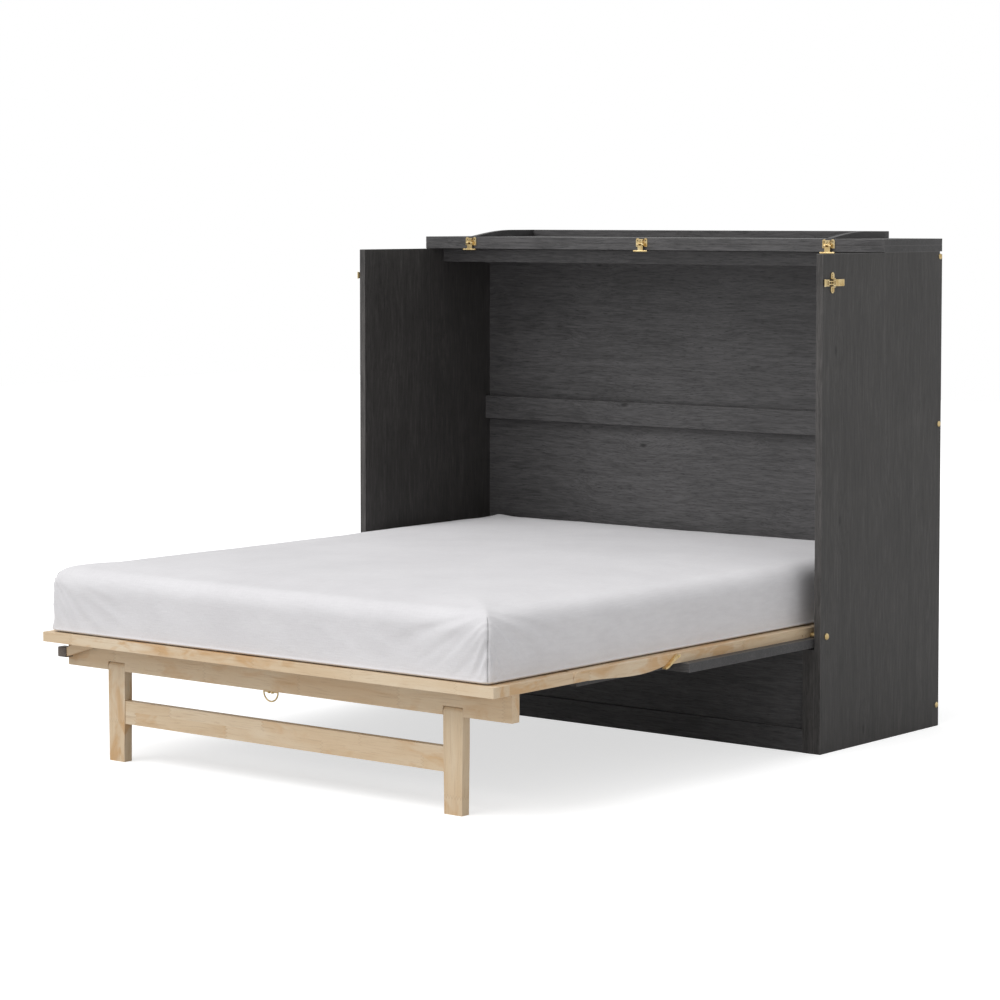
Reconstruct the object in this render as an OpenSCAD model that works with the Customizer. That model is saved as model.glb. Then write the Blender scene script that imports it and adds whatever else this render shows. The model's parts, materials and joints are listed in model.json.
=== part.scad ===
// Murphy wall bed: a low cabinet whose front folds down into a queen-width
// bed deck on a folding leg frame. Millimetres. X is the width, +Y points to
// the back of the cabinet, -Y to the foot of the bed, Z is up from the floor.

/* [Cabinet] */
// Outside width of the cabinet
cab_w = 1638; // [1400:1:1900]
// Depth of the side panels
cab_d = 612; // [560:1:760]
// Overall height to the upper face of the top boards
cab_h = 1376; // [1300:1:1600]
// Thickness of a side panel
side_t = 20; // [16:0.5:28]
// Thickness of one of the two boards stacked in the top
board_t = 18; // [15:0.5:25]
// Distance from the front plane to the front edge of the top boards
lid_y = 306; // [280:1:420]
// Height of the gallery boards on the top
gallery_h = 20; // [10:1:60]

/* [Deck] */
// Width of the sleeping deck
deck_w = 1542; // [1300:1:1750]
// Reach of the deck in front of the cabinet
deck_out = 1325; // [1250:1:1500]
// Height of the underside of the deck rails
deck_z = 311; // [280:1:380]
// Thickness of the deck rails
rail_t = 26; // [20:1:35]
// Width of a side rail
rail_w = 60; // [45:1:90]
// Number of slats in the main deck
slats_main = 7; // [4:1:12]

/* [Leg frame] */
// Height of the leg beam below the deck
beam_h = 70; // [50:1:90]
// Thickness of the leg beam
beam_t = 28; // [20:1:40]
// Distance of the beam front face from the front plane
beam_y = 1243; // [1150:1:1400]
// Width of a leg at its upper end
leg_w = 61; // [45:1:80]
// Thickness of a leg
leg_t = 27; // [20:1:34]
// Outside spread of the legs
leg_spread = 1218; // [900:1:1240]

/* [Mattress] */
// Mattress width
mat_w = 1524; // [1300:1:1540]
// Mattress thickness
mat_t = 178; // [120:1:220]
// Mattress length
mat_l = 1905; // [1700:1:2000]
// Corner radius of the mattress in plan
mat_r = 45; // [10:1:90]

/* [Output] */
// Node to build, or "all"
// Curve quality
$fn = 40; // [24:4:72]

/* [Hidden] */
dark = [0.27, 0.26, 0.26];
dark2 = [0.22, 0.215, 0.22];
pale = [0.84, 0.75, 0.60];
pale2 = [0.80, 0.69, 0.53];
brass = [0.80, 0.62, 0.28];
cloth = [0.88, 0.88, 0.88];
hw = cab_w/2;                    // half width outside
iw = hw - side_t;                // half width inside
deck_h = deck_w/2;               // half width of the deck
deck_top = deck_z + rail_t;      // 337
lid_b = cab_h - 2*board_t;       // underside of the top boards, 1340
side_top = lid_b - 1;            // panel height under the folded flap
sy = (deck_out - cab_d)/2;       // brings the origin to the bounding box centre
piv_y = 29;                      // main pivot, measured from the front plane
piv_z = 316;
fold_z = deck_top - 24.5;        // flap pivot height, 312.5
fold_zc = cab_h - 37.5;          // its height once the deck is up
fold_y = piv_z + piv_y - fold_zc;// -993.5
knee = 25;                       // radius of the rail ends at the fold
low_t = 24;                      // lower front panel thickness
low_end = -573;                  // its outer end
up_t = 17;                       // upper front panel thickness
flap_t = 18;                     // board under the flap
flap_w = 1380;                   // its width
grip_x = -738;                   // where the cap of the grip begins
grip_y = -1262;                  // middle of the grip
beam_f = -beam_y;                // beam front face
beam_b = -beam_y + beam_t;       // beam rear face
leg_piv_y = beam_f + leg_t/2 + 0.5;   // the legs stand in slots of the beam
leg_piv_z = 249;
lx1 = leg_spread/2;              // outer face of a leg
lx0 = lx1 - leg_w;
mat_foot = -deck_out + 10;       // foot end of the mattress
mat_head = mat_foot + mat_l;
back_f = cab_d - 22;             // front face of the back panel
c = 0.05;                        // running clearance
side_latch_y = 46;
side_latch_z = 1262;
top_x = 640;

// ---------- helpers ----------
module put() { translate([0, sy, 0]) children(); }
module bx(x0, x1, y0, y1, z0, z1)
  translate([x0, y0, z0]) cube([x1-x0, y1-y0, z1-z0]);
module both() { children(); mirror([1, 0, 0]) children(); }
module barx(x0, x1, y, z, r)
  translate([x0, y, z]) rotate([0, 90, 0]) cylinder(r = r, h = x1-x0);
// a plate drawn in Y,Z and pulled along X
module plate_yz(x0, x1, pts)
  translate([x0, 0, 0]) multmatrix([[0,0,1,0],[1,0,0,0],[0,1,0,0],[0,0,0,1]])
    linear_extrude(x1-x0) polygon(pts);
// a board with its long edges eased, size x,y,z
module eased(x0, x1, y0, y1, z0, z1, e = 1.5)
  plate_yz(x0, x1, [[y0+e,z0],[y1-e,z0],[y1,z0+e],[y1,z1-e],[y1-e,z1],
    [y0+e,z1],[y0,z1-e],[y0,z0+e]]);
module dome(r, h)   // round bolt head standing on Z = 0
  rotate_extrude() polygon([[0,0],[r,0],[r,h*0.35],[r*0.82,h*0.72],
    [r*0.5,h*0.93],[0,h]]);
module countersunk(x, y, z, dx, r = 3.4)   // screw hole in a face normal to X
  translate([x, y, z]) rotate([0, 90*dx, 0]) cylinder(r = r, h = 30, center = true);

// ---------- cabinet ----------
module side_panel_raw() difference() {
  plate_yz(iw, hw, [[1.5,0],[cab_d-1.5,0],[cab_d,1.5],[cab_d,lid_b-8],
    [cab_d-1.5,lid_b-8],[cab_d-12,lid_b-8],[cab_d-12,lid_b],
    [lid_y+2,lid_b],[lid_y+2,side_top],[1.5,side_top],[0,side_top-1.5],[0,1.5]]);
  barx(iw-1, hw+1, piv_y, piv_z, 5+c);
  for (z = [60, 856, lid_b-14]) barx(iw-1, hw+1, cab_d-11, z, 3+c);
}
module side_panel_left() put() color(dark) mirror([1,0,0]) side_panel_raw();
module side_panel_right() put() color(dark) side_panel_raw();
module back_panel() put() color(dark2) difference() {
  bx(-iw, iw, back_f, back_f+9, 0, lid_b-8);
  anchor_holes();
}
// screws through here hold the cabinet back against a wall
module anchor_holes() for (x = [-400, 400]) translate([x, back_f-10, lid_b-26])
  rotate([90,0,0]) cylinder(r = 3.5, h = 60, center = true);
module mid_rail() put() color(dark)
  eased(-iw, iw, back_f-20, back_f, 806, 877);
module top_cleat() put() color(dark) difference() {
  bx(-iw, iw, back_f-20, back_f, lid_b-48, lid_b-2);
  anchor_holes();
}
module lid_rail() put() color(dark)
  eased(-iw, iw, 366, 384, lid_b-41, lid_b-1);
module base_top_rail() put() color(dark)
  eased(-iw+36, iw-36, 0, 20, 238, 281);
module base_bottom_rail() put() color(dark)
  eased(-iw+36, iw-36, 0, 20, 0, 65);
module base_stiles() put() color(dark) both()
  bx(iw-36, iw, 0, 20, 0, 281);
module base_panel() put() color(dark2)
  bx(-iw+36, iw-36, 9, 16, 65, 238);

// ---------- fixed head deck ----------
hd0 = 62;
hd1 = back_f - 4;
module side_rail_raw(y0, y1) // L section with a ledge for the slats
  translate([0, y1, 0]) rotate([90,0,0]) linear_extrude(y1-y0)
    polygon([[deck_h-rail_w-18,deck_z],[deck_h,deck_z],[deck_h,deck_top],
      [deck_h-rail_w,deck_top],[deck_h-rail_w,deck_z+10],
      [deck_h-rail_w-18,deck_z+10]]);
module head_rails() put() color(pale) {
  both() side_rail_raw(hd0, hd1);
  bx(-30, 30, hd0, hd1, deck_z, deck_z+10);
}
module head_slats() put() color(pale2)
  for (i = [0:3]) let (y = hd0 + 4 + i*146)
    bx(-deck_h+rail_w, deck_h-rail_w, y, y+84, deck_z+10, deck_top);
module head_cleats() put() color(dark2) {
  both() bx(deck_h-rail_w-18, iw, hd0, hd1, deck_z-34, deck_z);
  bx(-30, 30, hd0+6, hd1, deck_z-34, deck_z);
  bx(-30, 30, hd0+6, hd0+66, 0, deck_z-34);
  bx(-30, 30, hd1-60, hd1, 0, deck_z-34);
}

// ---------- brass on the cabinet ----------
module side_bolts() put() color(brass) both()
  for (z = [60, 856, lid_b-14]) {
    barx(iw+4, hw, cab_d-11, z, 3);
    translate([hw, cab_d-11, z]) rotate([0,90,0]) dome(8, 4);
  }
module pivot_bolts() put() color(brass) both() {
  barx(deck_h-30, hw, piv_y, piv_z, 5);
  barx(deck_h+1, iw-0.6, piv_y, piv_z, 8.5);
  translate([hw, piv_y, piv_z]) rotate([0,90,0]) dome(9, 5);
}

// ---------- draw latch, plate on Z = 0, pull along +X ----------
lat_z = 7.5;      // height of the lever pin
module latch_cheeks() for (s = [-1, 1]) hull() {
  translate([-6, s*11-1, 1]) cube([12, 2, 1]);
  translate([0, s*11-1, lat_z]) rotate([-90,0,0]) cylinder(r = 3.2, h = 2);
}
module latch_pin_hole() translate([0, 0, lat_z]) rotate([90,0,0])
  cylinder(r = 1.5+c, h = 40, center = true);
module screw_hole(x, y) translate([x, y, -1]) cylinder(r1 = 1.2, r2 = 2.4, h = 3);
// side latch base: a strip with round ends across the pull
module side_base_raw() difference() {
  union() {
    bx(-8, 8, -20, 20, 0, 1.8);
    for (s = [-1, 1]) translate([0, s*20, 0]) cylinder(r = 8, h = 1.8);
    latch_cheeks();
  }
  for (s = [-1, 1], y = [16, 22.5]) screw_hole(0, s*y);
  latch_pin_hole();
}
// top latch base: a plate on the edge of the upper board
module top_base_raw() difference() {
  union() {
    bx(-6, 14, -20, 20, 0, 1.8);
    for (s = [-1, 1]) translate([13, s*14, 0]) cylinder(r = 6, h = 1.8);
    latch_cheeks();
  }
  for (s = [-1, 1]) screw_hole(12, s*14);
  translate([14, 0, -1]) cylinder(r = 6, h = 4, $fn = 3);
  latch_pin_hole();
}
bail_x = 3.2;     // pin of the bail, carried by the lever
// lever of length l; bar is the half width of a bar across its end
module latch_lever_raw(l, bar = 0) {
  for (m = [0, 1]) mirror([0, m, 0]) {
    translate([0, 5.5, lat_z]) rotate([-90,0,0]) cylinder(r = 3, h = 3.5);
    translate([0, 8, lat_z]) rotate([-90,0,0]) cylinder(r = 1.5, h = 4.6);
    translate([bail_x, 5.5, lat_z]) rotate([-90,0,0]) cylinder(r = 2, h = 3.5);
    bx(0, bail_x, 5.5, 9, lat_z-2, lat_z+2);
    bx(-2.7, 0.4, 5.5, 9, lat_z-1.1, lat_z+1.1);
  }
  translate([bail_x, 0, lat_z]) rotate([90,0,0]) cylinder(r = 1, h = 12, center = true);
  bx(-l+3, -2.6, -9.2, 9.2, lat_z-1.1, lat_z+1.1);
  bx(-l, -l+3.1, -6.2, 6.2, lat_z-1.1, lat_z+1.1);
  for (s = [-1, 1]) translate([-l+3, s*6.2, lat_z-1.1]) cylinder(r = 3, h = 2.2);
  if (bar > 0) translate([-l, 0, lat_z]) rotate([90,0,0])
    cylinder(r = 2.7, h = 2*bar, center = true);
}
// loop of length l with a wide, slotted nose
module latch_bail_raw(l, nose) difference() {
  union() {
    translate([bail_x, 0, lat_z]) rotate([90,0,0]) cylinder(r = 2, h = 10.4, center = true);
    bx(bail_x, bail_x+l-nose+1, -5.2, -2.4, lat_z-1, lat_z+1);
    bx(bail_x, bail_x+l-nose+1, 2.4, 5.2, lat_z-1, lat_z+1);
    bx(bail_x+l-nose, bail_x+l, -9, 9, lat_z-1.4, lat_z+1.4);
    if (nose > 8) translate([bail_x+l, 0, lat_z]) rotate([90,0,0])
      cylinder(r = 2.2, h = 20, center = true);
  }
  translate([bail_x, 0, lat_z]) rotate([90,0,0]) cylinder(r = 1+c, h = 30, center = true);
  if (nose > 8) for (k = [1, 2])
    bx(bail_x+l-nose+k*nose/3-1.6, bail_x+l-nose+k*nose/3+1.2, -6, 6, 0, 20);
}
// side latch: pull towards the front, plate on the outer face
module at_side(s) put() translate([s*hw, side_latch_y, side_latch_z])
  multmatrix([[0,0,s,0],[-1,0,0,0],[0,1,0,0],[0,0,0,1]]) children();
// top latch: pull upwards, plate on the front edge of the top boards
module at_top(x) put() translate([x, lid_y, cab_h-20])
  multmatrix([[0,-1,0,0],[0,0,-1,0],[1,0,0,0],[0,0,0,1]]) children();
module side_latch_base_left() color(brass) at_side(-1) side_base_raw();
module side_latch_base_right() color(brass) at_side(1) side_base_raw();
module side_lever_left() color(brass) at_side(-1) latch_lever_raw(47);
module side_lever_right() color(brass) at_side(1) latch_lever_raw(47);
module side_bail_left() color(brass) at_side(-1) latch_bail_raw(42, 18);
module side_bail_right() color(brass) at_side(1) latch_bail_raw(42, 18);
module top_latch_bases() color(brass) for (x = [-top_x, 0, top_x])
  at_top(x) top_base_raw();
module top_lever_left() color(brass) at_top(-top_x) latch_lever_raw(18.5, 24);
module top_lever_mid() color(brass) at_top(0) latch_lever_raw(18.5, 24);
module top_lever_right() color(brass) at_top(top_x) latch_lever_raw(18.5, 24);
module top_bail_left() color(brass) at_top(-top_x) latch_bail_raw(13, 3.5);
module top_bail_mid() color(brass) at_top(0) latch_bail_raw(13, 3.5);
module top_bail_right() color(brass) at_top(top_x) latch_bail_raw(13, 3.5);

// ---------- hinged top ----------
lidh_y = cab_d - 4.5;
module lid_lower() put() color(dark) difference() {
  eased(-hw, hw, lid_y, cab_d-0.5, lid_b, lid_b+board_t, 1);
  for (x = [-560, 0, 560]) bx(x-39, x+39, lidh_y-5.2, cab_d+1, lid_b-1, lid_b+6);
}
module lid_upper() put() color(dark)
  eased(-hw, hw, lid_y, cab_d-0.5, lid_b+board_t, cab_h, 1);
module gallery_back() put() color(dark)
  eased(-645, 645, 593, 611, cab_h, cab_h+gallery_h, 1);
module gallery_side_raw() plate_yz(627, 645, concat([[593, cab_h]],
  [[lid_y+6, cab_h]], [for (i = [0:10]) let (t = i/10)
    [lid_y+6+t*185, cab_h + 1.5 + (gallery_h-1.5)*sin(90*t)]],
  [[593, cab_h+gallery_h]]));
module gallery_side_left() put() color(dark) mirror([1,0,0]) gallery_side_raw();
module gallery_side_right() put() color(dark) gallery_side_raw();
// three butt hinges along the back edge: fixed half with the pin
module lid_hinges() put() color(brass) for (x = [-560, 0, 560]) {
  for (k = [-1, 1]) {
    barx(x+k*25.3-12, x+k*25.3+12, lidh_y, lid_b, 4.2);
    bx(x+k*25.3-12, x+k*25.3+12, back_f+9, lidh_y, lid_b-4.2, lid_b-2.2);
  }
  barx(x-37, x+37, lidh_y, lid_b, 2);
  bx(x-37.3, x+37.3, back_f+9, back_f+10.8, lid_b-40, lid_b-2.2);
}
// moving half: knuckle and leaf under the top boards
module lid_leaves() put() color(brass) for (x = [-560, 0, 560]) difference() {
  union() {
    barx(x-13, x+13, lidh_y, lid_b, 4.2);
    bx(x-13, x+13, lidh_y-12, lidh_y, lid_b-1.7, lid_b-0.1);
    bx(x-37, x+37, lidh_y-40, lidh_y-5.5, lid_b-1.7, lid_b-0.1);
  }
  barx(x-20, x+20, lidh_y, lid_b, 2+c);
}
// ---------- main deck ----------
md1 = 46;                          // rear end of the main rails
slat_end = fold_y + 30;
module main_rails() put() color(pale) both() difference() {
  union() {
    side_rail_raw(fold_y, md1-14);
    intersection() {
      side_rail_raw(fold_y, md1);
      union() { bx(0, hw, fold_y, piv_y, 0, 400);
        barx(0, hw, piv_y, deck_z+13, 15.9); }
    }
    intersection() {                           // round end at the fold
      side_rail_raw(fold_y-knee, fold_y+2);
      barx(0, hw, fold_y, fold_z, knee);
    }
  }
  barx(deck_h-32, hw, piv_y, piv_z, 5+c);
  for (y = [-14, 0]) countersunk(deck_h, y, deck_z+7, 1, 2.6);
}
module main_slats() put() color(pale2)
  for (i = [0:slats_main-1])
    let (p = (md1-40-slat_end-84)/(slats_main-1), y = slat_end + i*p)
      bx(-deck_h+rail_w, deck_h-rail_w, y, y+84, deck_z+10, deck_top);
module panel_lower() put() color(dark) difference() {
  eased(-iw+2, iw-2, low_end, 38, deck_z-low_t, deck_z, 1);
  both() barx(deck_h-40, hw, piv_y, piv_z, 9);   // room for the pivot collar
}
module panel_upper() put() color(dark)
  difference() {
    bx(-deck_h+31, deck_h-31, fold_y+7, low_end-1, deck_z-up_t, deck_z);
    both() bx(deck_h-rail_w-20, hw, fold_y, fold_y+28, 0, 400);
  }
// brass stay between the end of the lower panel and the side rail
module s_brackets() put() color(brass) both()
  plate_yz(deck_h, deck_h+12, concat(
    [for (i = [0:12]) let (t = i/12, s = 3*t*t-2*t*t*t)
      [-652 + 62*t, deck_z-7.5 + 25*s]],
    [for (i = [12:-1:0]) let (t = i/12, s = 3*t*t-2*t*t*t)
      [-652 + 62*t, deck_z-3 + 27*s]]));
// bowed pale strip under each side rail
module bow_strips() put() color(pale2) both() let (n = 12, a = -955, b = -642)
  plate_yz(deck_h-26, deck_h, concat(
    [for (i = [0:n]) let (t = i/n) [a + (b-a)*t, deck_z]],
    [for (i = [n:-1:0]) let (t = i/n) [a + (b-a)*t, deck_z - 0.8 - 9.5*sin(180*pow(t, 1.5))]]));
// knuckle hinges of the flap: main half
hx = [-520, 0, 520];
module fold_leaves_main() put() color(brass) for (x = hx) difference() {
  union() {
    for (k = [0, 2]) barx(x-30+k*20+0.3, x-10+k*20-0.3, fold_y, fold_z, 5);
    for (k = [0, 2]) bx(x-30+k*20+0.3, x-10+k*20-0.3, fold_y, fold_y+8, fold_z-1.5, fold_z+0.5);
    bx(x-30, x+30, fold_y+7.2, fold_y+29, fold_z-1.5, fold_z+0.5);
    barx(x-30.3, x+30.3, fold_y, fold_z, 2);
  }
}

// ---------- flap ----------
module flap_rails() put() color(pale) both() {
  side_rail_raw(-deck_out+rail_w, fold_y-knee-0.6);
}
module end_rail() put() color(pale)
  bx(-deck_h, deck_h, -deck_out, -deck_out+rail_w, deck_z, deck_top);
module flap_slats() put() color(pale2) for (y = [-1255, -1169, -1083])
  bx(-deck_h+rail_w, deck_h-rail_w, y, y+72, deck_z+10, deck_top);
module flap_board() put() color(dark)
  eased(-flap_w/2, flap_w/2, beam_b, fold_y-7, deck_z-flap_t, deck_z, 1);
// carrying grip under the overhang at the left: pale arm with a dark cap
module grip_arm() put() color(pale2) translate([0, grip_y+10, 0])
  rotate([90,0,0]) linear_extrude(20) polygon([[grip_x,deck_z-43],
    [grip_x+48,deck_z-27],[grip_x+108,deck_z-9],[grip_x+136,deck_z],
    [grip_x+52,deck_z],[grip_x,deck_z-19]]);
module grip_cap() put() color(dark2)
  eased(grip_x-30, grip_x, grip_y-13, grip_y+13, deck_z-46, deck_z-19, 2);
module leg_beam() put() color(pale) difference() {
  bx(-deck_h+10, deck_h-10, beam_f, beam_b, deck_z-beam_h, deck_z);
  both() {
    bx(lx0-1, lx1+1, beam_f-1, beam_b+1, 0, leg_piv_z+leg_t/2+1);
    barx(lx0-25, lx1+25, leg_piv_y, leg_piv_z, 3);
  }
}
module fold_leaves_flap() put() color(brass) for (x = hx) difference() {
  union() {
    barx(x-10+0.3, x+10-0.3, fold_y, fold_z, 5);
    bx(x-10+0.3, x+10-0.3, fold_y-8, fold_y, fold_z-1.5, fold_z+0.5);
    bx(x-30, x+30, fold_y-32, fold_y-7.2, fold_z-1.5, fold_z+0.5);
  }
  barx(x-40, x+40, fold_y, fold_z, 2+c);
}
ring_y = beam_f + beam_t/2;
ring_z = deck_z - beam_h - 4;
ring_x = -33;     // the ring hangs left of the middle
ring_r = 24.5;
module pull_staple() put() translate([ring_x, 0, 0]) color(brass) difference() {
  bx(-8, 8, ring_y-4, ring_y+4, ring_z-4, ring_z+4);
  barx(-20, 20, ring_y, ring_z, 2+c);
  bx(-4.2, 4.2, ring_y-5, ring_y+5, ring_z-5, ring_z+2.6);
}
module ring_pull() put() translate([ring_x, 0, 0]) color(brass) {
  barx(-ring_r, ring_r, ring_y, ring_z, 2);
  translate([0, ring_y, ring_z]) rotate([90,0,0]) rotate([0,0,180])
    rotate_extrude(angle = 180, $fn = 64) translate([ring_r, 0]) circle(r = 2, $fn = 16);
}
// steel pins the legs turn on, let into the beam
module leg_pins() put() color(brass) both()
  barx(lx0-25, lx1+25, leg_piv_y, leg_piv_z, 3);

// ---------- legs ----------
module leg_raw() difference() {
  union() {
    translate([0, leg_piv_y+leg_t/2, 0]) rotate([90,0,0]) linear_extrude(leg_t)
      polygon([[lx0+3,0],[lx1-3,0],[lx1,leg_piv_z-60],[lx1,leg_piv_z],
        [lx0,leg_piv_z],[lx0,leg_piv_z-60]]);
    barx(lx0, lx1, leg_piv_y, leg_piv_z, leg_t/2);
  }
  barx(lx0-1, lx1+1, leg_piv_y, leg_piv_z, 3+c);
}
module leg_left() put() color(pale) mirror([1,0,0]) leg_raw();
module leg_right() put() color(pale) leg_raw();
function leg_in(z) = lx0 + 3 - 3*z/(leg_piv_z-60);   // inner face of a leg
module stretcher() put() color(pale) translate([0, leg_piv_y+11, 0])
  rotate([90,0,0]) linear_extrude(22) polygon([for (p = [[-1,102], [1,102],
    [1,163], [-1,163]]) [p[0]*leg_in(p[1]), p[1]]]);

// ---------- mattress, three sections with mitred folds ----------
module mat_plan() offset(r = mat_r) offset(delta = -mat_r)
  translate([-mat_w/2, mat_foot]) square([mat_w, mat_l]);
module mat_block() translate([0, 0, deck_top]) intersection() {
  linear_extrude(mat_t) mat_plan();
  translate([0, 0, mat_t/2]) rotate([90,0,0])
    linear_extrude(6000, center = true) offset(r = 14, $fn = 24) offset(delta = -14)
      square([mat_w, mat_t], center = true);
}
g = 1.5;   // half gap at a fold
module mattress_head() put() color(cloth) intersection() {
  mat_block();
  plate_yz(-900, 900, [[piv_y+(deck_top-piv_z)+g, deck_top],
    [piv_y+(deck_top+mat_t-piv_z)+g, deck_top+mat_t], [3000, deck_top+mat_t], [3000, deck_top]]);
}
module mattress_middle() put() color(cloth) intersection() {
  mat_block();
  plate_yz(-900, 900, [[piv_y-(deck_top-piv_z)-g, deck_top],
    [piv_y-(deck_top+mat_t-piv_z)-g, deck_top+mat_t],
    [fold_y+(deck_top+mat_t-fold_z)+g, deck_top+mat_t],
    [fold_y+(deck_top-fold_z)+g, deck_top]]);
}
module mattress_foot() put() color(cloth) intersection() {
  mat_block();
  plate_yz(-900, 900, [[fold_y-(deck_top-fold_z)-g, deck_top],
    [fold_y-(deck_top+mat_t-fold_z)-g, deck_top+mat_t], [-3000, deck_top+mat_t], [-3000, deck_top]]);
}

// ---------- build ----------
side_panel_left();
side_panel_right();
back_panel();
mid_rail();
top_cleat();
lid_rail();
base_top_rail();
base_bottom_rail();
base_stiles();
base_panel();
head_rails();
head_slats();
head_cleats();
side_bolts();
pivot_bolts();
side_latch_base_left();
side_latch_base_right();
mattress_head();
lid_lower();
lid_upper();
gallery_back();
gallery_side_left();
gallery_side_right();
top_latch_bases();
lid_hinges();
lid_leaves();
main_rails();
main_slats();
panel_lower();
panel_upper();
s_brackets();
bow_strips();
fold_leaves_main();
mattress_middle();
flap_rails();
flap_slats();
end_rail();
flap_board();
grip_arm();
grip_cap();
leg_beam();
fold_leaves_flap();
pull_staple();
leg_pins();
mattress_foot();
leg_left();
leg_right();
stretcher();
ring_pull();
side_lever_left();
side_lever_right();
side_bail_left();
side_bail_right();
top_lever_left();
top_lever_mid();
top_lever_right();
top_bail_left();
top_bail_mid();
top_bail_right();
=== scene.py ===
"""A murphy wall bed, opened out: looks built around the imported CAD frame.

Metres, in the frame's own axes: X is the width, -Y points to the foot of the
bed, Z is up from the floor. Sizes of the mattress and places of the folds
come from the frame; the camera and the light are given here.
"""
import json
import math

import bmesh
import bpy
import numpy as np
from mathutils import Matrix, Vector, noise
from mathutils.bvhtree import BVHTree


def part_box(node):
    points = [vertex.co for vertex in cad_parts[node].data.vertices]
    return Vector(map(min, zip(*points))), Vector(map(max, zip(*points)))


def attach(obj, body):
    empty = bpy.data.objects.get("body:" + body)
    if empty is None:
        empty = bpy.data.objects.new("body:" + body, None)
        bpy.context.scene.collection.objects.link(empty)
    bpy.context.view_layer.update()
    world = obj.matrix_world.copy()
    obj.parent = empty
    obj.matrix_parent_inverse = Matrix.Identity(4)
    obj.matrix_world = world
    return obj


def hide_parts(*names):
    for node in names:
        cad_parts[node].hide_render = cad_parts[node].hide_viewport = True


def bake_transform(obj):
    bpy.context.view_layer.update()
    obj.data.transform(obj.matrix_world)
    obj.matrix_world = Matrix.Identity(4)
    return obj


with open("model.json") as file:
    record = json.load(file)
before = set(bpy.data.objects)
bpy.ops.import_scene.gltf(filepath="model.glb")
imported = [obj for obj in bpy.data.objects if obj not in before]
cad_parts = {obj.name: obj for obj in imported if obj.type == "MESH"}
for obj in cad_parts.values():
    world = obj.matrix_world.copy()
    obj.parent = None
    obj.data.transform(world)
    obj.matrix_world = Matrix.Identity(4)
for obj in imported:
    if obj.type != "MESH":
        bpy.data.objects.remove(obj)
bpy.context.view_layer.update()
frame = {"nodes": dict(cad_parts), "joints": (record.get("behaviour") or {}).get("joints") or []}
NODES = frame["nodes"]
SCENE = bpy.context.scene

# ---------------------------------------------------------------- camera
CAMERA_AT = Vector((5.2302, -6.4590, 1.4454))   # where the lens stands
CAMERA_YAW = 0.67995                            # radians, towards the left
CAMERA_PITCH = math.radians(3.5)                # looking down
CAMERA_LENS = 109.65                            # on a 36 mm wide frame
CAMERA_SHIFT = -0.10                            # frame lowered, in widths

camera_data = bpy.data.cameras.new("camera")
camera_data.lens = CAMERA_LENS
camera_data.sensor_width = 36.0
camera_data.shift_y = CAMERA_SHIFT
camera_data.clip_end = 60.0
camera = bpy.data.objects.new("camera", camera_data)
camera.location = CAMERA_AT
camera.rotation_euler = (math.pi / 2 - CAMERA_PITCH, 0.0, CAMERA_YAW)
SCENE.collection.objects.link(camera)
SCENE.camera = camera

# ---------------------------------------------------------------- studio
WHITE = (1.0, 1.0, 1.0, 1.0)
FLOOR_HALF = 14.0
FLOOR_GREYS = (0.62, 0.63)           # the paint is mottled between these
FLOOR_GLOW = 0.65     # only the camera sees it: keeps the shadows pale
SKY_LIGHT = 0.68      # light that the white room gives
SKY_SEEN = 1.0        # brightness of the room behind the object
SUN_AT = Vector((-2.2, -4.4, 7.2))   # it shines from here to the origin
SUN_ENERGY = 1.55
SUN_ANGLE = math.radians(50)         # wide, for soft shadows


def link(obj):
    SCENE.collection.objects.link(obj)
    return obj


# ---------------------------------------------------------------- nodes
def new_tree(name):
    """An empty material and its tree, with the shader and output in place."""
    material = bpy.data.materials.new(name)
    material.use_nodes = True
    tree = material.node_tree
    tree.nodes.clear()
    out = tree.nodes.new("ShaderNodeOutputMaterial")
    shader = tree.nodes.new("ShaderNodeBsdfPrincipled")
    tree.links.new(shader.outputs[0], out.inputs["Surface"])
    return material, tree, shader


def plug(tree, socket, value):
    if isinstance(value, bpy.types.NodeSocket):
        tree.links.new(value, socket)
    elif value is not None:
        socket.default_value = value


def add(tree, kind, *values, **settings):
    """A node whose inputs are filled in order; returns the node."""
    node = tree.nodes.new("ShaderNode" + kind)
    for key, value in settings.items():
        setattr(node, key, value)
    for socket, value in zip(node.inputs, values):
        plug(tree, socket, value)
    return node


def calc(tree, operation, *values):
    return add(tree, "Math", *values, operation=operation).outputs[0]


def weighted(tree, first, *others):
    """The sum of (value, weight) pairs."""
    total = calc(tree, "MULTIPLY", *first)
    for pair in others:
        total = calc(tree, "ADD", total, calc(tree, "MULTIPLY", *pair))
    return total


def vector(tree, x, y, z):
    return add(tree, "CombineXYZ", x, y, z).outputs[0]


def scaled(tree, places, factors):
    """A vector of three coordinates, each times its own factor."""
    return vector(tree, *(calc(tree, "MULTIPLY", place, factor)
                          for place, factor in zip(places, factors)))


def fuzz(tree, place, scale, detail=3.0, rough=0.55, bend=0.0):
    """Noise from 0 to 1, about a half on average."""
    node = tree.nodes.new("ShaderNodeTexNoise")
    plug(tree, node.inputs["Vector"], place)
    plug(tree, node.inputs["Scale"], scale)
    plug(tree, node.inputs["Detail"], detail)
    plug(tree, node.inputs["Roughness"], rough)
    plug(tree, node.inputs["Distortion"], bend)
    return node.outputs["Fac"]


def wander_of(tree, place, scale, reach):
    """Slow noise about nought, for lines that are not quite straight."""
    drift = fuzz(tree, place, scale, 2.0)
    return calc(tree, "MULTIPLY", calc(tree, "SUBTRACT", drift, 0.5), reach)


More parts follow.
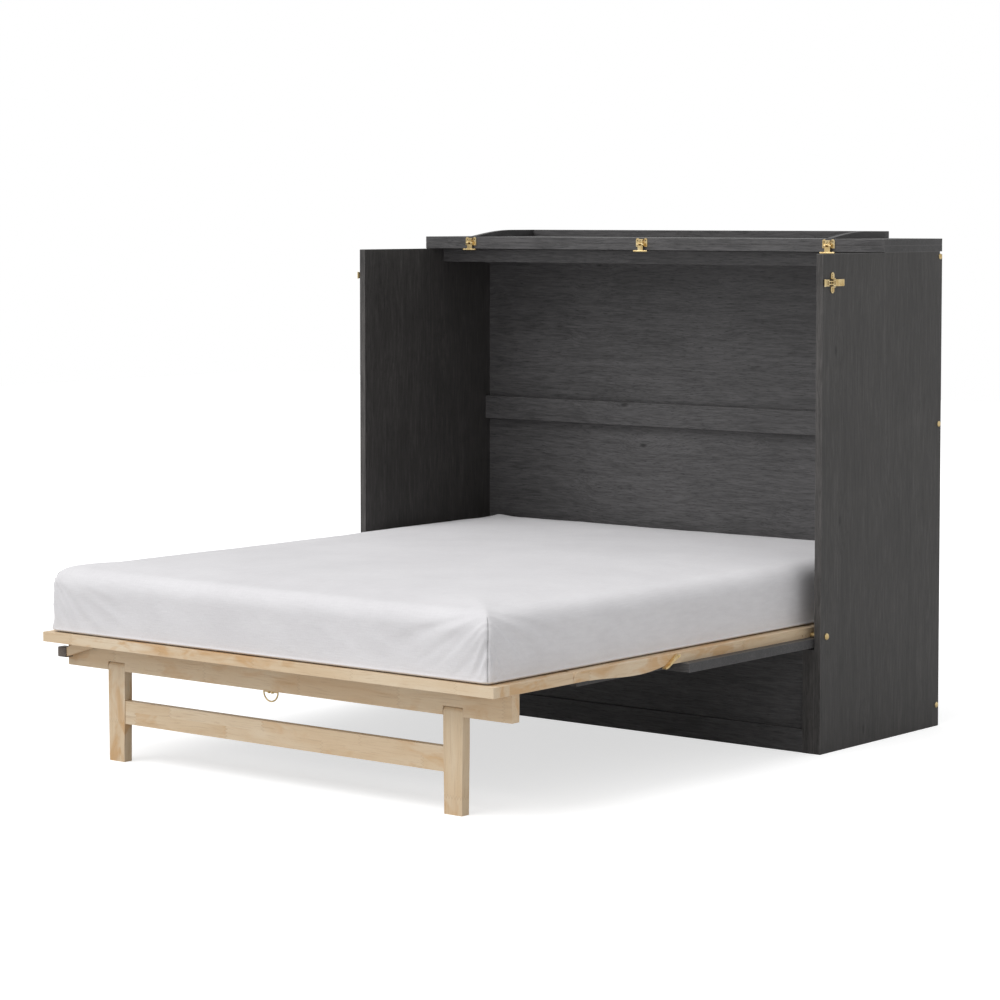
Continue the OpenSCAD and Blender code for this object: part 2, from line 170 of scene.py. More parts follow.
def ramp(tree, factor, *stops):
    """Colours between stops (place, (r, g, b)); a number stands for a grey."""
    node = tree.nodes.new("ShaderNodeValToRGB")
    plug(tree, node.inputs[0], factor)
    elements = node.color_ramp.elements
    while len(elements) < len(stops):
        elements.new(0.5)
    for element, (place, colour) in zip(elements, stops):
        element.position = place
        if isinstance(colour, (int, float)):
            colour = (colour,) * 3
        element.color = (*colour, 1.0)
    return node.outputs[0]


def blend_colour(tree, factor, under, over):
    """Colour over laid on colour under; over may be an (r, g, b)."""
    node = tree.nodes.new("ShaderNodeMix")
    node.data_type = "RGBA"
    colour_a, colour_b = node.inputs[6], node.inputs[7]
    plug(tree, node.inputs[0], factor)
    plug(tree, colour_a, under)
    plug(tree, colour_b, (*over, 1.0) if isinstance(over, tuple) else over)
    return node.outputs[2]


def spread(tree, value, low, high, out_low=0.0, out_high=1.0):
    """Maps low..high to out_low..out_high and stays within them."""
    node = tree.nodes.new("ShaderNodeMapRange")
    for socket, number in zip(node.inputs, (value, low, high, out_low, out_high)):
        plug(tree, socket, number)
    return node.outputs[0]


def bumped(tree, shader, height, strength, distance):
    node = tree.nodes.new("ShaderNodeBump")
    node.inputs["Strength"].default_value = strength
    node.inputs["Distance"].default_value = distance
    tree.links.new(height, node.inputs["Height"])
    tree.links.new(node.outputs[0], shader.inputs["Normal"])


def place_of(tree):
    """Object place whole and in three, and the parts of the normal."""
    coords = tree.nodes.new("ShaderNodeTexCoord")
    place = coords.outputs["Object"]
    split = add(tree, "SeparateXYZ", place).outputs
    normal = add(tree, "SeparateXYZ", coords.outputs["Normal"]).outputs
    return place, split, normal


def along_and_across(xyz, grain):
    """The coordinate that runs with the grain, and the two others."""
    return xyz[grain], [xyz[i] for i in range(3) if i != grain]


def camera_ray(tree):
    """1 for what the camera sees directly, 0 for light and reflections."""
    return tree.nodes.new("ShaderNodeLightPath").outputs["Is Camera Ray"]


def edge_mask(tree, width):
    """1 along the arrises of a piece, 0 on its flats."""
    bevel = tree.nodes.new("ShaderNodeBevel")
    bevel.samples = 4
    bevel.inputs["Radius"].default_value = width
    geometry = tree.nodes.new("ShaderNodeNewGeometry")
    dot = add(tree, "VectorMath", bevel.outputs[0], geometry.outputs["Normal"],
              operation="DOT_PRODUCT").outputs["Value"]
    return spread(tree, dot, 1.0, 0.93)


# ---------------------------------------------------------------- woods
def stained_wood(name, grain, tint):
    """Charcoal stain over straight, fine-pored grain; grain is 0, 1 or 2."""
    knot_colour, pore_colour = (0.012, 0.0115, 0.011), (0.010, 0.010, 0.010)
    # the edge colour is a painted highlight along the arrises
    edge_highlight_colour = (0.135, 0.130, 0.128)
    material, tree, shader = new_tree(name)
    place, xyz, normal = place_of(tree)
    along, across = along_and_across(xyz, grain)
    # small knots, far apart; the grain swings round each of them
    knot = tree.nodes.new("ShaderNodeTexVoronoi")
    plug(tree, knot.inputs["Scale"], 1.0)
    plug(tree, knot.inputs["Vector"],
         scaled(tree, (along, *across), (3.1, 7.3, 7.3)))
    far = knot.outputs["Distance"]
    wander = calc(tree, "ADD", wander_of(tree, place, 1.7, 0.05),
                  spread(tree, far, 0.30, 0.0, 0.0, 0.012))
    side = [calc(tree, "ADD", v, wander) for v in across]

    def streaks(length, width, detail, rough, bend=0.0):
        stretched = scaled(tree, (along, *side),
                           (1.0 / length, 1.0 / width, 1.0 / width))
        return fuzz(tree, stretched, 1.0, detail, rough, bend)

    bands = streaks(0.60, 0.034, 3.0, 0.6, 0.5)
    figure = streaks(0.090, 0.0062, 3.0, 0.6, 0.3)
    lines = streaks(0.045, 0.0026, 3.0, 0.65)
    pores = streaks(0.022, 0.0013, 2.0, 0.5)
    cloud = fuzz(tree, place, 3.4, 3.0)
    tone = weighted(tree, (bands, 0.17), (figure, 0.31), (lines, 0.36),
                    (cloud, 0.16))
    # painted light: the faces towards the foot and the head of the bed are painted lighter, for
    # the light from the front
    painted_face_light = calc(tree, "ABSOLUTE", normal[1])
    tone = calc(tree, "ADD", tone, spread(tree, painted_face_light, 0.6, 0.95, 0.0, 0.082))
    low, mid, high = [tuple(level * c for c in tint)
                      for level in (0.023, 0.047, 0.092)]
    colour = ramp(tree, tone, (0.34, low), (0.51, mid), (0.68, high))
    colour = blend_colour(tree, spread(tree, far, 0.055, 0.020, 0.0, 0.75),
                          colour, knot_colour)
    pits = spread(tree, pores, 0.41, 0.28)
    colour = blend_colour(tree, calc(tree, "MULTIPLY", pits, 0.70), colour,
                          pore_colour)
    # painted highlight: a paler colour along the arrises, broken up by the grain lines
    edge_highlight = edge_mask(tree, 0.0022)
    patchy = spread(tree, lines, 0.35, 0.60, 0.30, 0.85)
    colour = blend_colour(tree, calc(tree, "MULTIPLY", edge_highlight, patchy), colour,
                          edge_highlight_colour)
    tree.links.new(colour, shader.inputs["Base Color"])
    tree.links.new(spread(tree, lines, 0.3, 0.7, 0.40, 0.56),
                   shader.inputs["Roughness"])
    shader.inputs["Specular IOR Level"].default_value = 0.42
    height = calc(tree, "SUBTRACT", calc(tree, "MULTIPLY", lines, 0.4), pits)
    bumped(tree, shader, height, 0.35, 0.0003)
    return material


def jointed_wood(name, grain):
    """Clear pale hardwood in finger-jointed staves; grain is 0, 1 or 2."""
    stave_length, stave_width, finger = 0.33, 0.083, 0.0045
    orange_colour, mellow_colour = (0.600, 0.345, 0.140), (0.660, 0.460, 0.265)
    line_colour, fleck_colour = (0.400, 0.240, 0.110), (0.330, 0.200, 0.095)
    # the second colour is a painted highlight for the edges
    glue_colour, edge_highlight_colour = (0.330, 0.210, 0.110), (0.820, 0.700, 0.540)
    material, tree, shader = new_tree(name)
    place, xyz, _ = place_of(tree)
    along, across = along_and_across(xyz, grain)
    # staves: each cell of length by width has its own tone, and the joint
    # between two of them follows the zigzag of the fingers
    zigzag = calc(tree, "PINGPONG", calc(tree, "ADD", across[0], across[1]),
                  finger)
    rows = [calc(tree, "FLOOR", calc(tree, "MULTIPLY_ADD", v, 1 / stave_width,
                                     0.37)) for v in across]
    slip = calc(tree, "ADD", calc(tree, "MULTIPLY", rows[0], 0.371),
                calc(tree, "MULTIPLY", rows[1], 0.613))
    reach = calc(tree, "ADD", calc(tree, "MULTIPLY", zigzag, 2.2), along)
    reach = calc(tree, "MULTIPLY_ADD", reach, 1 / stave_length, slip)
    cell = vector(tree, calc(tree, "FLOOR", reach), rows[0], rows[1])
    pick = add(tree, "TexWhiteNoise", cell, noise_dimensions="3D")
    tone = pick.outputs["Value"]
    hue = add(tree, "SeparateXYZ", pick.outputs["Color"]).outputs[1]
    # grain inside a stave, set off from stave to stave
    shift = calc(tree, "MULTIPLY", tone, 7.0)
    wander = wander_of(tree, place, 2.3, 0.04)
    side = [calc(tree, "ADD", v, wander) for v in across]

    def streaks(length, width, detail, rough, bend=0.0):
        stretched = vector(
            tree, calc(tree, "MULTIPLY_ADD", along, 1.0 / length, shift),
            *(calc(tree, "MULTIPLY", v, 1.0 / width) for v in side))
        return fuzz(tree, stretched, 1.0, detail, rough, bend)

    figure = streaks(0.42, 0.030, 3.0, 0.6, 1.1)
    lines = streaks(0.12, 0.0032, 3.0, 0.6)
    flecks = streaks(0.010, 0.0007, 2.0, 0.5)
    heart = fuzz(tree, place, 3.1, 2.0)
    base = ramp(tree, tone, (0.0, (0.705, 0.540, 0.360)),
                (0.45, (0.745, 0.600, 0.420)), (1.0, (0.780, 0.655, 0.490)))
    grainy = ramp(tree, figure, (0.28, (0.600, 0.420, 0.245)),
                  (0.50, (0.715, 0.560, 0.380)), (0.72, (0.770, 0.645, 0.480)))
    colour = blend_colour(tree, 0.45, base, grainy)
    blotch = fuzz(tree, scaled(tree, (along, *across), (7.0, 19.0, 19.0)),
                  1.0, 3.0, 0.6, 0.8)
    orange = calc(tree, "MULTIPLY", spread(tree, hue, 0.10, 0.75),
                  spread(tree, blotch, 0.50, 0.64, 0.0, 0.72))
    colour = blend_colour(tree, orange, colour, orange_colour)
    mellow = spread(tree, heart, 0.44, 0.62, 0.0, 0.36)
    colour = blend_colour(tree, mellow, colour, mellow_colour)
    dark_line = spread(tree, lines, 0.46, 0.28, 0.0, 0.34)
    colour = blend_colour(tree, dark_line, colour, line_colour)
    speck = spread(tree, flecks, 0.36, 0.24, 0.0, 0.35)
    colour = blend_colour(tree, speck, colour, fleck_colour)
    # a hair line of glue where staves meet
    edge = calc(tree, "ABSOLUTE", calc(tree, "SUBTRACT", calc(
        tree, "FRACT", calc(tree, "ADD", reach, 0.5)), 0.5))
    glue = spread(tree, edge, 0.0035, 0.0005, 0.0, 0.45)
    colour = blend_colour(tree, glue, colour, glue_colour)
    # painted highlight: a paler colour along the arrises
    edge_highlight = edge_mask(tree, 0.0018)
    colour = blend_colour(tree, calc(tree, "MULTIPLY", edge_highlight, 0.30), colour,
                          edge_highlight_colour)
    tree.links.new(colour, shader.inputs["Base Color"])
    tree.links.new(spread(tree, lines, 0.3, 0.7, 0.38, 0.52),
                   shader.inputs["Roughness"])
    shader.inputs["Specular IOR Level"].default_value = 0.40
    height = calc(tree, "SUBTRACT", calc(tree, "MULTIPLY", lines, 0.5),
                  calc(tree, "ADD", speck, glue))
    bumped(tree, shader, height, 0.25, 0.00025)
    return material


def gold_brass(name):
    """Brushed brass, with a painted highlight on its edges and painted shade in its corners."""
    edge_glint_colour, crevice_shade_colour = (1.00, 0.90, 0.66), (0.060, 0.036, 0.014)
    material, tree, shader = new_tree(name)
    place, xyz, _ = place_of(tree)
    smudge = fuzz(tree, place, 60.0, 3.0)
    brushed = fuzz(tree, scaled(tree, xyz, (900.0, 900.0, 60.0)), 1.0, 2.0)
    colour = ramp(tree, smudge, (0.30, (0.62, 0.430, 0.170)),
                  (0.55, (0.83, 0.640, 0.320)), (0.80, (0.95, 0.80, 0.500)))
    # painted highlight: a pale cream along the edges
    edge_highlight = edge_mask(tree, 0.0009)
    colour = blend_colour(tree, calc(tree, "MULTIPLY", edge_highlight, 0.7), colour,
                          edge_glint_colour)
    # painted shade: darker in the crevices, where an occlusion node finds them
    nook = tree.nodes.new("ShaderNodeAmbientOcclusion")
    nook.samples = 6
    nook.inputs["Distance"].default_value = 0.006
    crevice_shade = spread(tree, nook.outputs["AO"], 0.62, 0.15, 0.0, 0.92)
    colour = blend_colour(tree, crevice_shade, colour, crevice_shade_colour)
    tree.links.new(colour, shader.inputs["Base Color"])
    shader.inputs["Metallic"].default_value = 1.0
    tree.links.new(spread(tree, smudge, 0.3, 0.7, 0.24, 0.42),
                   shader.inputs["Roughness"])
    height = calc(tree, "ADD", calc(tree, "MULTIPLY", brushed, 0.4), smudge)
    bumped(tree, shader, height, 0.12, 0.0002)
    return material


def woven_cloth(name, colour_low, colour_high, pitch):
    """A plain linen weave on every side of a piece, whichever way it faces."""
    material, tree, shader = new_tree(name)
    place, xyz, normal = place_of(tree)
    turn = 2 * math.pi / pitch
    drift = wander_of(tree, place, 9.0, 0.006)
    thread = [calc(tree, "SINE", calc(tree, "MULTIPLY", calc(
        tree, "ADD", v, drift), turn)) for v in xyz]
    # on each face the threads that run in it cross
    crossings = []
    for i, part in enumerate(normal):
        face = calc(tree, "POWER", calc(tree, "ABSOLUTE", part), 4.0)
        a, b = [thread[j] for j in range(3) if j != i]
        crossings.append(calc(tree, "MULTIPLY",
                              calc(tree, "MULTIPLY", a, b), face))
    weave = calc(tree, "ADD", calc(tree, "ADD", *crossings[:2]), crossings[2])
    # thick and thin stretches of thread, both ways
    slub_x, slub_y = [fuzz(tree, scaled(tree, xyz, factors), 1.0, 3.0)
                      for factors in ((22.0, 700.0, 700.0), (700.0, 22.0, 90.0))]
    slub = calc(tree, "MULTIPLY", calc(tree, "ADD", slub_x, slub_y), 0.5)
    cloud = fuzz(tree, place, 5.0, 3.0)
    tone = weighted(tree, (slub, 0.65), (cloud, 0.35))
    tone = calc(tree, "MULTIPLY_ADD", weave, 0.045, tone)
    colour = ramp(tree, tone, (0.30, colour_low), (0.70, colour_high))
    tree.links.new(colour, shader.inputs["Base Color"])
    tree.links.new(spread(tree, slub, 0.3, 0.7, 0.78, 0.92),
                   shader.inputs["Roughness"])
    shader.inputs["Sheen Weight"].default_value = 0.25
    shader.inputs["Sheen Roughness"].default_value = 0.45
    shader.inputs["Specular IOR Level"].default_value = 0.25
    crumple = fuzz(tree, place, 38.0, 4.0, 0.62, 0.6)
    height = weighted(tree, (weave, 0.35), (slub, 1.8))
    height = calc(tree, "MULTIPLY_ADD", crumple, 5.0, height)
    bumped(tree, shader, height, 0.34, 0.0007)
    return material


X, Y, Z = 0, 1, 2
# the boards along X get a tint about a third brighter: painted light, for the light on the back
# panel and the front-facing boards
STAIN_AND_LIGHT_TINTS = ((1.310, 1.270, 1.290), (1.010, 0.985, 0.995),
               (1.060, 0.995, 0.960))   # boards along X, Y and Z
WORN_TINT = (2.30, 1.90, 1.60)          # paler, where hands rub it
DARK = [stained_wood(f"stained_wood_{'xyz'[i]}", i, STAIN_AND_LIGHT_TINTS[i])
        for i in (X, Y, Z)]
WORN = stained_wood("worn_wood", Y, WORN_TINT)
PALE = [jointed_wood(f"pale_wood_{'xyz'[i]}", i) for i in (X, Y, Z)]
BRASS = gold_brass("gold_brass")
LINEN = woven_cloth("mattress_linen", (0.655, 0.642, 0.660),
                    (0.800, 0.790, 0.808), 0.0016)
SEAM = woven_cloth("seam_cord", (0.360, 0.355, 0.365), (0.520, 0.515, 0.525),
                   0.0011)

GRAIN = {
    DARK[X]: ("back_panel", "mid_rail", "top_cleat", "lid_rail",
              "base_top_rail", "base_bottom_rail", "base_panel", "lid_lower",
              "lid_upper", "gallery_back", "panel_lower", "panel_upper",
              "flap_board"),
    DARK[Y]: ("gallery_side_left", "gallery_side_right", "head_cleats"),
    WORN: ("grip_cap",),
    DARK[Z]: ("side_panel_left", "side_panel_right", "base_stiles"),
    PALE[X]: ("head_slats", "main_slats", "flap_slats", "end_rail",
              "leg_beam", "stretcher", "grip_arm"),
    PALE[Y]: ("head_rails", "main_rails", "flap_rails", "bow_strips"),
    PALE[Z]: ("leg_left", "leg_right"),
}


def set_material(obj, material):
    obj.data.materials.clear()
    obj.data.materials.append(material)


for material, names in GRAIN.items():
    for name in names:
        set_material(NODES[name], material)
for name, obj in NODES.items():
    if not any(name in names for names in GRAIN.values()):
        set_material(obj, LINEN if name.startswith("mattress") else BRASS)


# ---------------------------------------------------------------- room
def floor_paint():
    """Matt light grey that glows for the camera alone, and so looks white."""
    material, tree, shader = new_tree("studio_floor")
    place = place_of(tree)[0]
    mottle = fuzz(tree, place, 1.5, 2.0)
    plug(tree, shader.inputs["Base Color"],
         ramp(tree, mottle, (0.3, FLOOR_GREYS[0]), (0.7, FLOOR_GREYS[1])))
    shader.inputs["Roughness"].default_value = 0.9
    shader.inputs["Specular IOR Level"].default_value = 0.1
    shader.inputs["Emission Color"].default_value = WHITE
    plug(tree, shader.inputs["Emission Strength"],
         spread(tree, camera_ray(tree), 0, 1, 0.0, FLOOR_GLOW))
    return material


def floor_plane():
    mesh = bpy.data.meshes.new("studio_floor")
    corners = [(sx * FLOOR_HALF, sy * FLOOR_HALF, 0)
               for sx, sy in ((-1, -1), (1, -1), (1, 1), (-1, 1))]
    mesh.from_pydata(corners, [], [(0, 1, 2, 3)])
    return link(bpy.data.objects.new("studio_floor", mesh))


def white_room():
    """An even world, brighter to the camera than as a light."""
    world = bpy.data.worlds.new("studio")
    SCENE.world = world
    world.use_nodes = True
    tree = world.node_tree
    tree.nodes.clear()
    strength = spread(tree, camera_ray(tree), 0, 1, SKY_LIGHT, SKY_SEEN)
    sky = add(tree, "Background", WHITE, strength)
    out = tree.nodes.new("ShaderNodeOutputWorld")
    tree.links.new(sky.outputs[0], out.inputs["Surface"])


def key_sun():
    data = bpy.data.lights.new("key", "SUN")
    data.energy = SUN_ENERGY
    data.angle = SUN_ANGLE
    lamp = link(bpy.data.objects.new("key", data))
    lamp.location = SUN_AT
    lamp.rotation_euler = (-SUN_AT).to_track_quat("-Z", "Y").to_euler()


floor = floor_plane()
set_material(floor, floor_paint())
white_room()
key_sun()
SCENE.view_settings.view_transform = "Standard"

# ---------------------------------------------------------------- mattress
MATTRESS = ("mattress_head", "mattress_middle", "mattress_foot")
lows, highs = zip(*(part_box(name) for name in MATTRESS))
MAT_LOW = Vector([min(c[i] for c in lows) for i in range(3)])
MAT_HIGH = Vector([max(c[i] for c in highs) for i in range(3)])
HALF_X = (MAT_HIGH.x - MAT_LOW.x) / 2
HALF_Y = (MAT_HIGH.y - MAT_LOW.y) / 2
MID_Y = (MAT_HIGH.y + MAT_LOW.y) / 2
HEIGHT = MAT_HIGH.z - MAT_LOW.z
CORNER_PLAN = 0.024       # corner radius seen from above
ROLL_TOP = 0.050          # roll of the cover over the top edge
ROLL_FOOT = 0.020         # tighter roll where it meets the deck
ROLL_STEPS = 5            # mesh steps round each roll
SLACK = 0.004             # the core is this much inside the CAD solid
FOOT_GAP = 0.0012         # and this much above its underside
GRID = 0.015              # mesh size of the cover
FILL_FRAMES = 20          # length of the cloth simulation
SWELL_CAP = 0.010         # how far the cover may move as it fills
HELD_SHARE = 0.3          # share of the foot roll that stays put meanwhile
LOOSE = Vector((-0.006, -0.008, 0))   # the mattress is pushed a bit aside

WAVE = 0.0022             # height of the long waves over the top
RIPPLE = 0.0009           # height of the finer ones
PULL = 0.0058             # height of the pull lines at the top corners
PULL_REACH = 0.22         # distance over which they fade
SLANT = 0.0017            # height of the slanting folds down the sides
FLAT_FOOT = 0.06          # share of the height, from below, without any
FADE_IN = 0.15            # share of the height over which they begin

SEAM_SINK = 0.0030        # depth of the groove that a corner seam pulls in
SEAM_HALF = 0.0055        # half width of that groove
SEAM_CORD = 0.0012        # radius of the cord in a seam
SEAM_LOW = 0.006          # the cord starts this far up
SEAM_HIGH = 0.90          # and ends at this share of the height
SEAM_POINTS = 30
CORD_SIDES = 8


def joint_y(name):
    return next(Vector(j["pos_m"]).y for j in frame["joints"]
                if j["name"] == name)


PIVOT_Y, FLAP_Y = joint_y("deck_fold"), joint_y("flap_fold")
SPLIT_Y = (PIVOT_Y + FLAP_Y) / 2      # where the two mattress pieces meet


def shade_smooth(mesh):
    mesh.polygons.foreach_set("use_smooth", [True] * len(mesh.polygons))


def object_from(bm, name):
    """A linked object with the mesh built in bm, which is freed."""
    mesh = bpy.data.meshes.new(name)
    bm.to_mesh(mesh)
    bm.free()
    return link(bpy.data.objects.new(name, mesh))


def stations(low, high, rolls):
    """Lattice places from low to high, closer together in the two rolls."""
    roll_low, roll_high = rolls
    span = high - roll_high - low - roll_low
    inner = max(1, round(span / GRID))
    places = [low + roll_low * k / ROLL_STEPS for k in range(ROLL_STEPS)]
    places += [low + roll_low + span * k / inner for k in range(inner)]
    places += [high - roll_high * (1 - k / ROLL_STEPS)
               for k in range(ROLL_STEPS + 1)]
    return places


def round_off(outward, rise):
    """Draws a point of a square corner in, so that the corner gets round."""
    if outward <= 0 or rise <= 0:
        return outward, rise
    scale = max(outward, rise) / math.hypot(outward, rise)
    return outward * scale, rise * scale


def mattress_core(name):
    """A closed, rounded block of quads, a little inside the CAD one."""
    half = HALF_X - SLACK
    y0, y1 = MAT_LOW.y + SLACK, MAT_HIGH.y - SLACK
    z0, z1 = MAT_LOW.z + FOOT_GAP, MAT_HIGH.z - SLACK
    xs = stations(-half, half, (ROLL_TOP, ROLL_TOP))
    ys = stations(y0, y1, (ROLL_TOP, ROLL_TOP))
    zs = stations(z0, z1, (ROLL_FOOT, ROLL_TOP))
    mid = Vector((0.0, (y0 + y1) / 2))
    reach = Vector((half, (y1 - y0) / 2))
    found = {}
    bm = bmesh.new()

    def corner(i, j, k):
        if (i, j, k) in found:
            return found[i, j, k]
        x, y, z = xs[i], ys[j] - mid.y, zs[k]
        sx, sy = math.copysign(1, x), math.copysign(1, y)
        dx, dy = abs(x) - reach.x + CORNER_PLAN, abs(y) - reach.y + CORNER_PLAN
        inset = min(reach.x - abs(x), reach.y - abs(y))
        if dx > 0 and dy > 0:
            out = Vector((dx, dy)).normalized()
            dx, dy = round_off(dx, dy)
            x = sx * (reach.x - CORNER_PLAN + dx)
            y = sy * (reach.y - CORNER_PLAN + dy)
            out = Vector((out.x * sx, out.y * sy))
        else:
            out = Vector((sx, 0)) if dx > dy else Vector((0, sy))
        for edge, roll, sign in ((z1, ROLL_TOP, 1), (z0, ROLL_FOOT, -1)):
            rise = roll - sign * (edge - z)
            outward = roll - inset
            a, b = round_off(outward, rise)
            if (a, b) != (outward, rise):
                x -= out.x * (outward - a)
                y -= out.y * (outward - a)
                z -= sign * (rise - b)
        found[i, j, k] = bm.verts.new((x, y + mid.y, z))
        return found[i, j, k]

    def sheet(count_a, count_b, make, flip):
        for a in range(count_a):
            for b in range(count_b):
                loop = [make(a, b), make(a + 1, b), make(a + 1, b + 1),
                        make(a, b + 1)]
                bm.faces.new(reversed(loop) if flip else loop)

    nx, ny, nz = len(xs) - 1, len(ys) - 1, len(zs) - 1
    for k, flip in ((0, True), (nz, False)):
        sheet(nx, ny, lambda a, b: corner(a, b, k), flip)
    for j, flip in ((0, False), (ny, True)):
        sheet(nx, nz, lambda a, b: corner(a, j, b), flip)
    for i, flip in ((0, True), (nx, False)):
        sheet(ny, nz, lambda a, b: corner(i, a, b), flip)
    return object_from(bm, name)


def coordinates(mesh):
    flat = np.empty(len(mesh.vertices) * 3, np.float32)
    mesh.vertices.foreach_get("co", flat)
    return flat.reshape(-1, 3).astype(float)


def set_coordinates(mesh, places):
    mesh.vertices.foreach_set("co", places.astype(np.float32).ravel())
    mesh.update()


def evaluated_mesh(obj):
    """The mesh with its modifiers applied, as a new data block."""
    graph = bpy.context.evaluated_depsgraph_get()
    return bpy.data.meshes.new_from_object(obj.evaluated_get(graph))


def swell(obj):
    """Fills the cover with a little pressure; the foot of it stays put."""
    rest = coordinates(obj.data)
    held = obj.vertex_groups.new(name="held")
    top_of_held = rest[:, 2].min() + HELD_SHARE * ROLL_FOOT
    held.add([int(i) for i in np.nonzero(rest[:, 2] < top_of_held)[0]],
             1.0, "ADD")
    cloth = obj.modifiers.new("fill", "CLOTH")
    cloth.settings.quality = 4
    cloth.settings.mass = 0.35
    cloth.settings.tension_stiffness = 18
    cloth.settings.compression_stiffness = 18
    cloth.settings.bending_stiffness = 1.5
    cloth.settings.use_pressure = True
    cloth.settings.uniform_pressure_force = 4.0
    cloth.settings.shrink_min = -0.004
    cloth.settings.vertex_group_mass = "held"
    cloth.settings.effector_weights.gravity = 0.0
    cloth.point_cache.frame_start = 1
    cloth.point_cache.frame_end = FILL_FRAMES
    for number in range(1, FILL_FRAMES + 1):
        SCENE.frame_set(number)
    moved = coordinates(evaluated_mesh(obj)) - rest
    SCENE.frame_set(1)
    obj.modifiers.clear()
    obj.vertex_groups.clear()
    length = np.linalg.norm(moved, axis=1)
    length[length < 1e-9] = 1e-9
    eased = SWELL_CAP * np.tanh(length / SWELL_CAP)
    set_coordinates(obj.data, rest + moved * (eased / length)[:, None])


def corner_angle(z):
    """How far round the plan corner a seam runs at height z: it leans a bit."""
    t = (z - MAT_LOW.z) / HEIGHT
    return math.radians(45 + 7 * (1 - t) ** 2 - 3 * t)


def crease_at(x, y, z, side):
    """How far out the cloth stands; side is 1 where it is upright."""
    up = (z - MAT_LOW.z) / HEIGHT
    if up < FLAT_FOOT:
        return 0.0
    # long waves of the top, and finer ones down the sides
    wave = noise.noise(Vector((x * 2.2, y * 2.6, 3.1))) * WAVE
    wave += noise.noise(Vector((x * 9 + y * 2, y * 8, z * 9))) * RIPPLE
    # pull lines that run out from each top corner
    dx, dy = HALF_X - abs(x), HALF_Y - abs(y - MID_Y)
    gap = math.hypot(min(dx, 0.9), min(dy, 0.9))
    near = math.exp(-(gap / PULL_REACH) ** 2)
    fan = math.atan2((1 - up) * HEIGHT + 0.02, gap + 0.02)
    pull = noise.noise(Vector((fan * 7.5, gap * 5.0,
                               math.copysign(7.7, x) + (y > MID_Y))))
    pull = 0.35 - abs(pull) * 2.2
    wave += pull * near * side * min(1.0, gap / 0.03) * PULL
    slant = noise.noise(Vector(((x + y) * 11 + up * 3.5, up * 2.2,
                                math.copysign(2.0, x))))
    wave += slant * side * SLANT * (0.35 + 0.65 * up)
    # the groove along a corner seam
    past_x = abs(x) - (HALF_X - CORNER_PLAN)
    past_y = abs(y - MID_Y) - (HALF_Y - CORNER_PLAN)
    if past_x > 0 and past_y > 0 and up < 0.93:
        angle = math.atan2(past_y, past_x)
        away = (angle - corner_angle(z)) * CORNER_PLAN
        wave -= SEAM_SINK * math.exp(-(away / SEAM_HALF) ** 2)
    return wave * min(1.0, (up - FLAT_FOOT) / FADE_IN)


def creases(obj):
    """Soft waves over the top, puckers at the corners, grooves at the seams."""
    mesh = obj.data
    places = coordinates(mesh)
    normals = np.empty(len(mesh.vertices) * 3, np.float32)
    mesh.vertex_normals.foreach_get("vector", normals)
    normals = normals.reshape(-1, 3)
    push = np.array([crease_at(x, y, z, 1 - abs(normal[2]))
                     for (x, y, z), normal in zip(places, normals)])
    set_coordinates(mesh, places + normals * push[:, None])


def tube(name, paths, radius):
    """Round cords along lists of points, closed at both ends."""
    turns = [2 * math.pi * s / CORD_SIDES for s in range(CORD_SIDES)]
    bm = bmesh.new()
    for path in paths:
        rings = []
        for n, point in enumerate(path):
            ahead = path[min(n + 1, len(path) - 1)] - path[max(n - 1, 0)]
            axis = ahead.normalized()
            side = axis.cross(Vector((0.31, 0.77, 0.12))).normalized()
            other = axis.cross(side)
            size = radius * (0.55 if n in (0, len(path) - 1) else 1.0)
            rings.append([bm.verts.new(
                point + (side * math.cos(a) + other * math.sin(a)) * size)
                for a in turns])
        for low, high in zip(rings, rings[1:]):
            for s in range(CORD_SIDES):
                after = (s + 1) % CORD_SIDES
                bm.faces.new((low[s], low[after], high[after], high[s]))
        bm.faces.new(list(reversed(rings[0])))
        bm.faces.new(rings[-1])
    bmesh.ops.recalc_face_normals(bm, faces=bm.faces)
    cords = object_from(bm, name)
    shade_smooth(cords.data)
    return cords


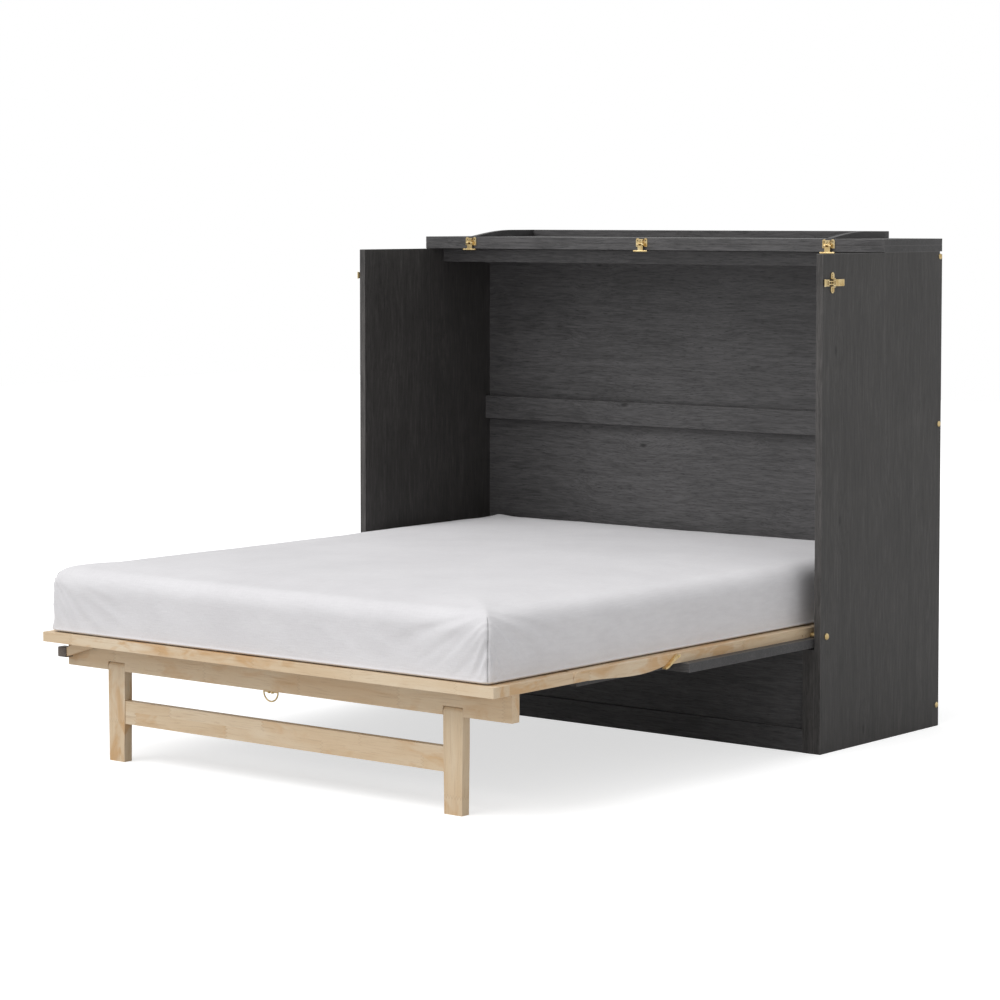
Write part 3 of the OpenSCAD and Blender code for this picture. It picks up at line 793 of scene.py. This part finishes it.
def seam_paths(surface, end):
    """Points up the corner seams of the cover; end is -1 foot, 1 head."""
    tree = BVHTree.FromObject(surface, bpy.context.evaluated_depsgraph_get())
    paths = []
    for sx in (-1, 1):
        path = []
        for n in range(SEAM_POINTS):
            z = MAT_LOW.z + SEAM_LOW + (
                SEAM_HIGH * HEIGHT - SEAM_LOW) * n / (SEAM_POINTS - 1)
            angle = corner_angle(z)
            out = Vector((sx * math.cos(angle), end * math.sin(angle), 0))
            start = Vector((sx * (HALF_X - CORNER_PLAN),
                            MID_Y + end * (HALF_Y - CORNER_PLAN), z))
            hit = tree.ray_cast(start + out * 0.2, -out)[0]
            if hit is not None:
                path.append(hit + out * SEAM_CORD * 0.25)
        paths.append(path)
    return paths


def cut_at(obj, name, y, keep_foot):
    """The part of a cover on one side of y, closed by a hidden flat face."""
    mesh = obj.data.copy()
    bm = bmesh.new()
    bm.from_mesh(mesh)
    gone = [f for f in bm.faces
            if (f.calc_center_median().y > y) == keep_foot]
    bmesh.ops.delete(bm, geom=gone, context="FACES")
    rim = [e for e in bm.edges if e.is_boundary]
    made = bmesh.ops.holes_fill(bm, edges=rim, sides=0)["faces"]
    for flat in (*rim, *made):
        flat.smooth = False
    bmesh.ops.recalc_face_normals(bm, faces=bm.faces)
    bm.to_mesh(mesh)
    bm.free()
    mesh.name = name
    return link(bpy.data.objects.new(name, mesh))


cover = mattress_core("mattress_cover")
swell(cover)
shade_smooth(cover.data)
refine = cover.modifiers.new("refine", "SUBSURF")
refine.levels = refine.render_levels = 1
whole = evaluated_mesh(cover)
cover.modifiers.clear()
cover.data = whole
creases(cover)
set_material(cover, LINEN)
foot_seams = tube("mattress_seams_foot", seam_paths(cover, -1), SEAM_CORD)
head_seams = tube("mattress_seams_head", seam_paths(cover, 1), SEAM_CORD)
foot_part = cut_at(cover, "mattress_foot_part", SPLIT_Y, True)
head_part = cut_at(cover, "mattress_head_part", SPLIT_Y, False)
bpy.data.objects.remove(cover)
for piece in (head_part, foot_part, head_seams, foot_seams):
    piece.data.transform(Matrix.Translation(LOOSE))
for piece, first, second, place in (
        (head_part, "cabinet", "main_deck", PIVOT_Y),
        (foot_part, "main_deck", "flap", FLAP_Y)):
    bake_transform(piece)
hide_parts("mattress_head", "mattress_middle")
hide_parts("mattress_foot")
for seams, body in ((foot_seams, "flap"), (head_seams, "cabinet")):
    set_material(seams, SEAM)
    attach(seams, body)
